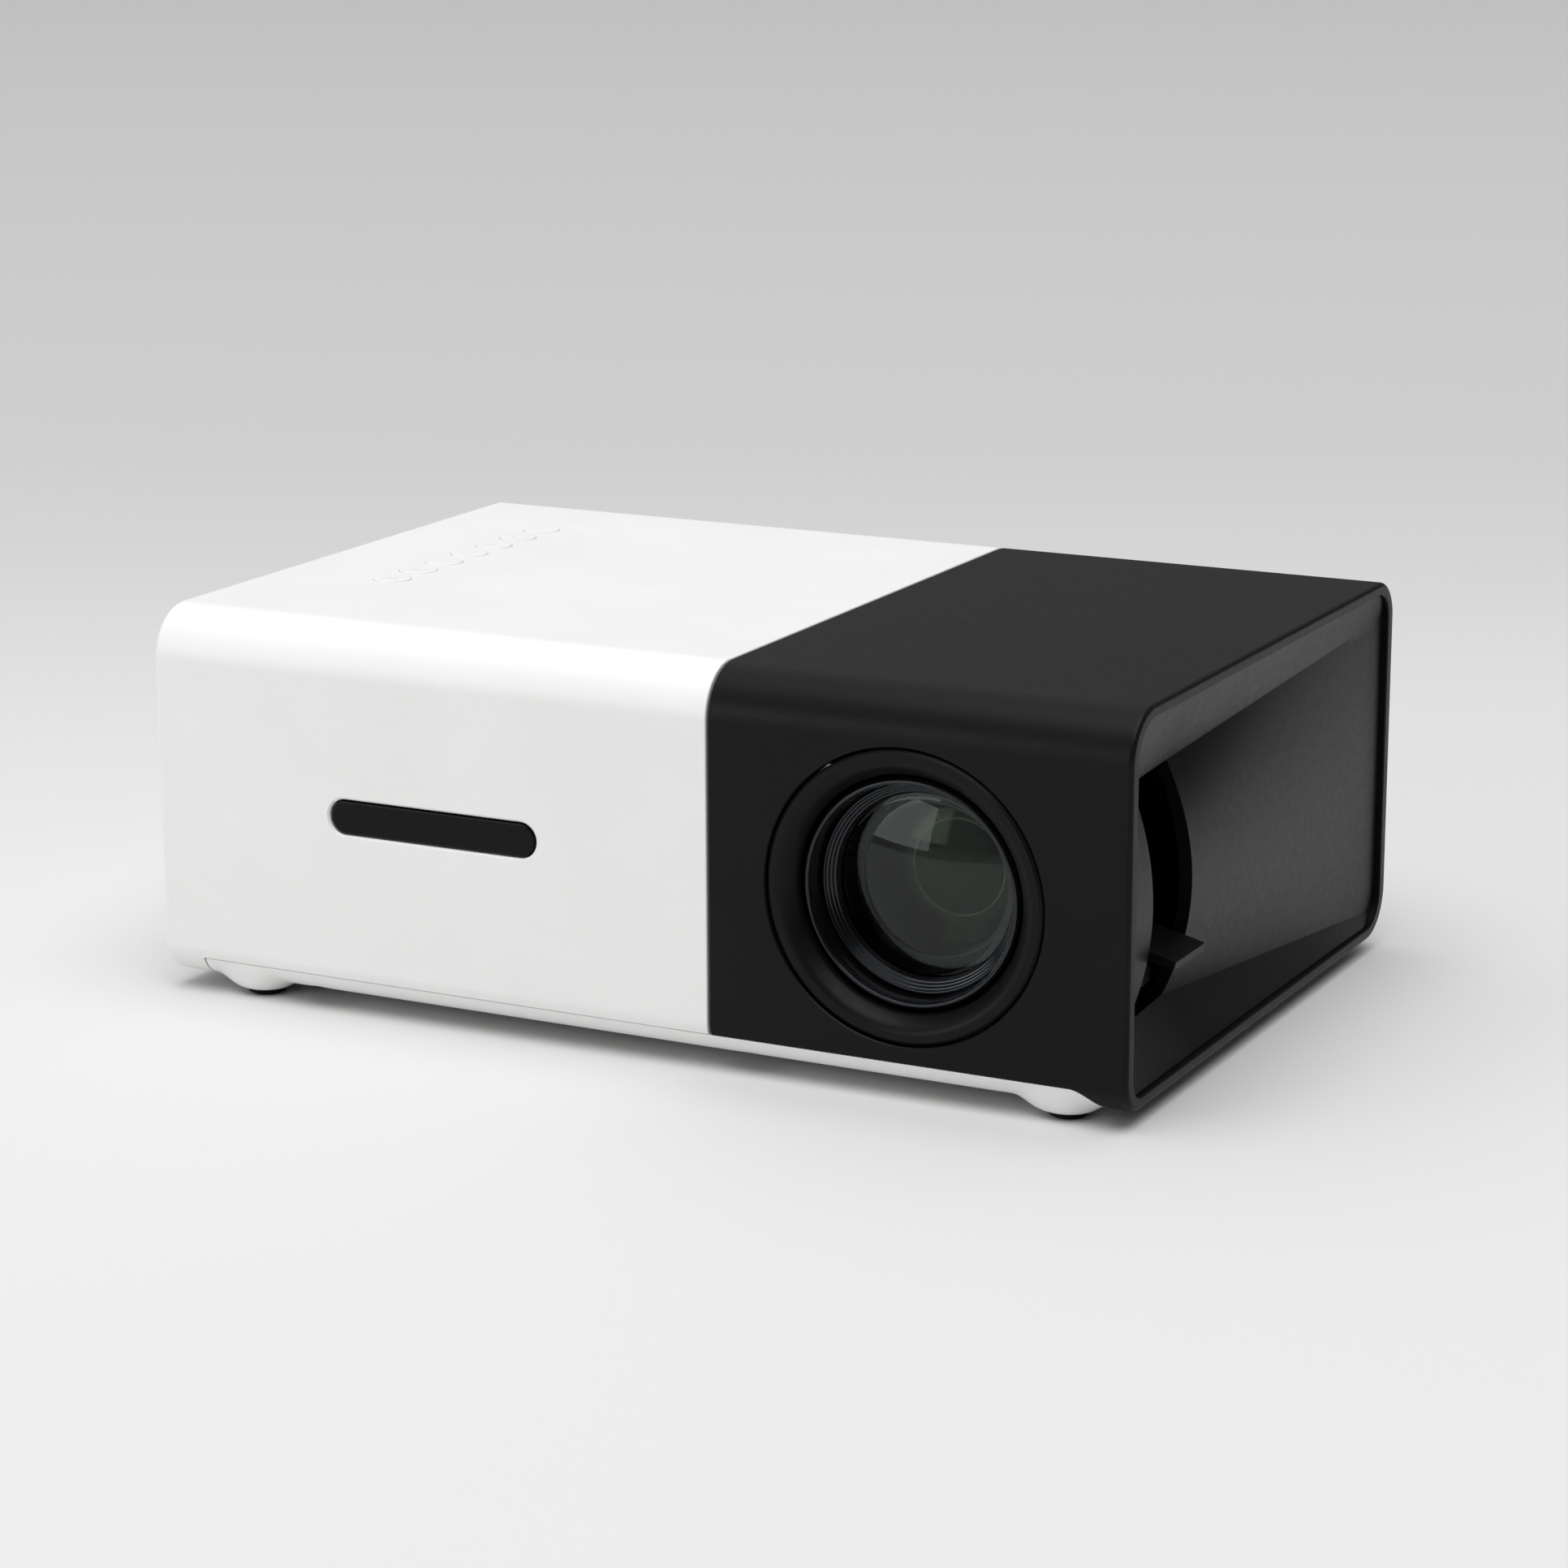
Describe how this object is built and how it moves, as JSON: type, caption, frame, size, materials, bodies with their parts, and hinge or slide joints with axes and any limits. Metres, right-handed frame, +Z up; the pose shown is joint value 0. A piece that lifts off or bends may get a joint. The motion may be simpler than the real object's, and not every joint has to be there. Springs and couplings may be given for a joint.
{
  "type": "home projector",
  "caption": "Small two-tone home projector: white shell and base, black lens housing with a recessed focusing lens, a side focus lever, top keys, sockets, fan and light engine.",
  "frame": {"origin": "centre of the footprint, on the surface that the foot pads stand on", "axes": "+X towards the lens housing end, +Y towards the back, +Z up; the lens looks along -Y"},
  "size_m": [0.1293, 0.086, 0.0482],
  "materials": {
    "white_plastic": "moulded ABS, fine satin grain",
    "black_plastic": "moulded ABS, fine satin grain",
    "inner_black_plastic": "moulded, matt",
    "gloss_black": "polished infrared-pass acrylic",
    "foot_rubber": "matt moulded rubber",
    "optical_glass": "polished and coated",
    "mirror_coat": "front-silvered",
    "aluminium": "extruded, plain",
    "plated_steel": "zinc plated",
    "brass": "turned",
    "circuit_board": "green solder mask",
    "led_phosphor": "clear silicone over phosphor",
    "ribbon_film": "polyimide film",
    "speaker_cone": "pressed paper"
  },
  "bodies": {
    "case": {"av_jack": "inner_black_plastic", "base_plate": "white_plastic", "card_socket": "plated_steel", "condenser_lens": "optical_glass", "condenser_mount": "inner_black_plastic", "fan_frame": "inner_black_plastic", "fold_mirror": "mirror_coat", "foot_pad_front_left": "foot_rubber", "foot_pad_front_right": "foot_rubber", "foot_pad_rear_left": "foot_rubber", "foot_pad_rear_right": "foot_rubber", "fresnel_lens": "optical_glass", "hdmi_socket": "plated_steel", "headphone_jack": "inner_black_plastic", "heat_glass": "optical_glass", "heat_sink": "aluminium", "ir_receiver": "gloss_black", "ir_window": "gloss_black", "key_board": "circuit_board", "lcd_panel": "gloss_black", "lcd_ribbon": "ribbon_film", "led_board": "aluminium", "led_emitter": "led_phosphor", "lens_holder": "inner_black_plastic", "lens_housing": "black_plastic", "lens_trim_ring": "black_plastic", "light_box": "inner_black_plastic", "light_box_lid": "inner_black_plastic", "main_board": "circuit_board", "power_jack": "inner_black_plastic", "screw_fan_1": "plated_steel", "screw_fan_2": "plated_steel", "screw_housing_front": "plated_steel", "screw_housing_rear": "plated_steel", "screw_lens_holder_1": "plated_steel", "screw_lens_holder_2": "plated_steel", "screw_shell_front": "plated_steel", "screw_shell_rear": "plated_steel", "side_panel": "black_plastic", "speaker": "speaker_cone", "tripod_insert": "brass", "usb_socket": "plated_steel", "white_shell": "white_plastic"},
    "focus_lever": {"focus_ring": "black_plastic"},
    "lens_group": {"lens_barrel": "inner_black_plastic", "front_lens_element": "optical_glass", "middle_lens_element": "optical_glass", "rear_lens_element": "optical_glass", "lens_retaining_ring": "inner_black_plastic", "focus_cam_pin": "plated_steel"},
    "fan_wheel": {"fan_rotor": "inner_black_plastic"},
    "button_power": {"key_power": "white_plastic"},
    "button_menu": {"key_menu": "white_plastic"},
    "button_back": {"key_back": "white_plastic"},
    "button_left": {"key_left": "white_plastic"},
    "button_up": {"key_up": "white_plastic"},
    "button_down": {"key_down": "white_plastic"},
    "button_right": {"key_right": "white_plastic"}
  },
  "joints": [
    {"name": "focus_turn", "type": "hinge", "parent": "case", "child": "focus_lever", "pos_m": [0.0357, -0.0272, 0.024], "axis": [0, -1, 0], "range_deg": [-13.5, 42.5]},
    {"name": "lens_slide", "type": "slide", "parent": "case", "child": "lens_group", "axis": [0, 1, 0], "range_m": [-0.00097, 0.00304]},
    {"name": "fan_spin", "type": "hinge", "parent": "case", "child": "fan_wheel", "pos_m": [-0.059, 0.0145, 0.0252], "axis": [1, 0, 0], "continuous": true},
    {"name": "press_power", "type": "slide", "parent": "case", "child": "button_power", "axis": [0, 0, -1], "range_m": [0, 0.0006], "stiffness_N_per_m": 300},
    {"name": "press_menu", "type": "slide", "parent": "case", "child": "button_menu", "axis": [0, 0, -1], "range_m": [0, 0.0006], "stiffness_N_per_m": 300},
    {"name": "press_back", "type": "slide", "parent": "case", "child": "button_back", "axis": [0, 0, -1], "range_m": [0, 0.0006], "stiffness_N_per_m": 300},
    {"name": "press_left", "type": "slide", "parent": "case", "child": "button_left", "axis": [0, 0, -1], "range_m": [0, 0.0006], "stiffness_N_per_m": 300},
    {"name": "press_up", "type": "slide", "parent": "case", "child": "button_up", "axis": [0, 0, -1], "range_m": [0, 0.0006], "stiffness_N_per_m": 300},
    {"name": "press_down", "type": "slide", "parent": "case", "child": "button_down", "axis": [0, 0, -1], "range_m": [0, 0.0006], "stiffness_N_per_m": 300},
    {"name": "press_right", "type": "slide", "parent": "case", "child": "button_right", "axis": [0, 0, -1], "range_m": [0, 0.0006], "stiffness_N_per_m": 300}
  ],
  "couplings": [
    {"joint": "focus_turn", "follows": "lens_slide", "rad_per_m": 243.9}
  ]
}
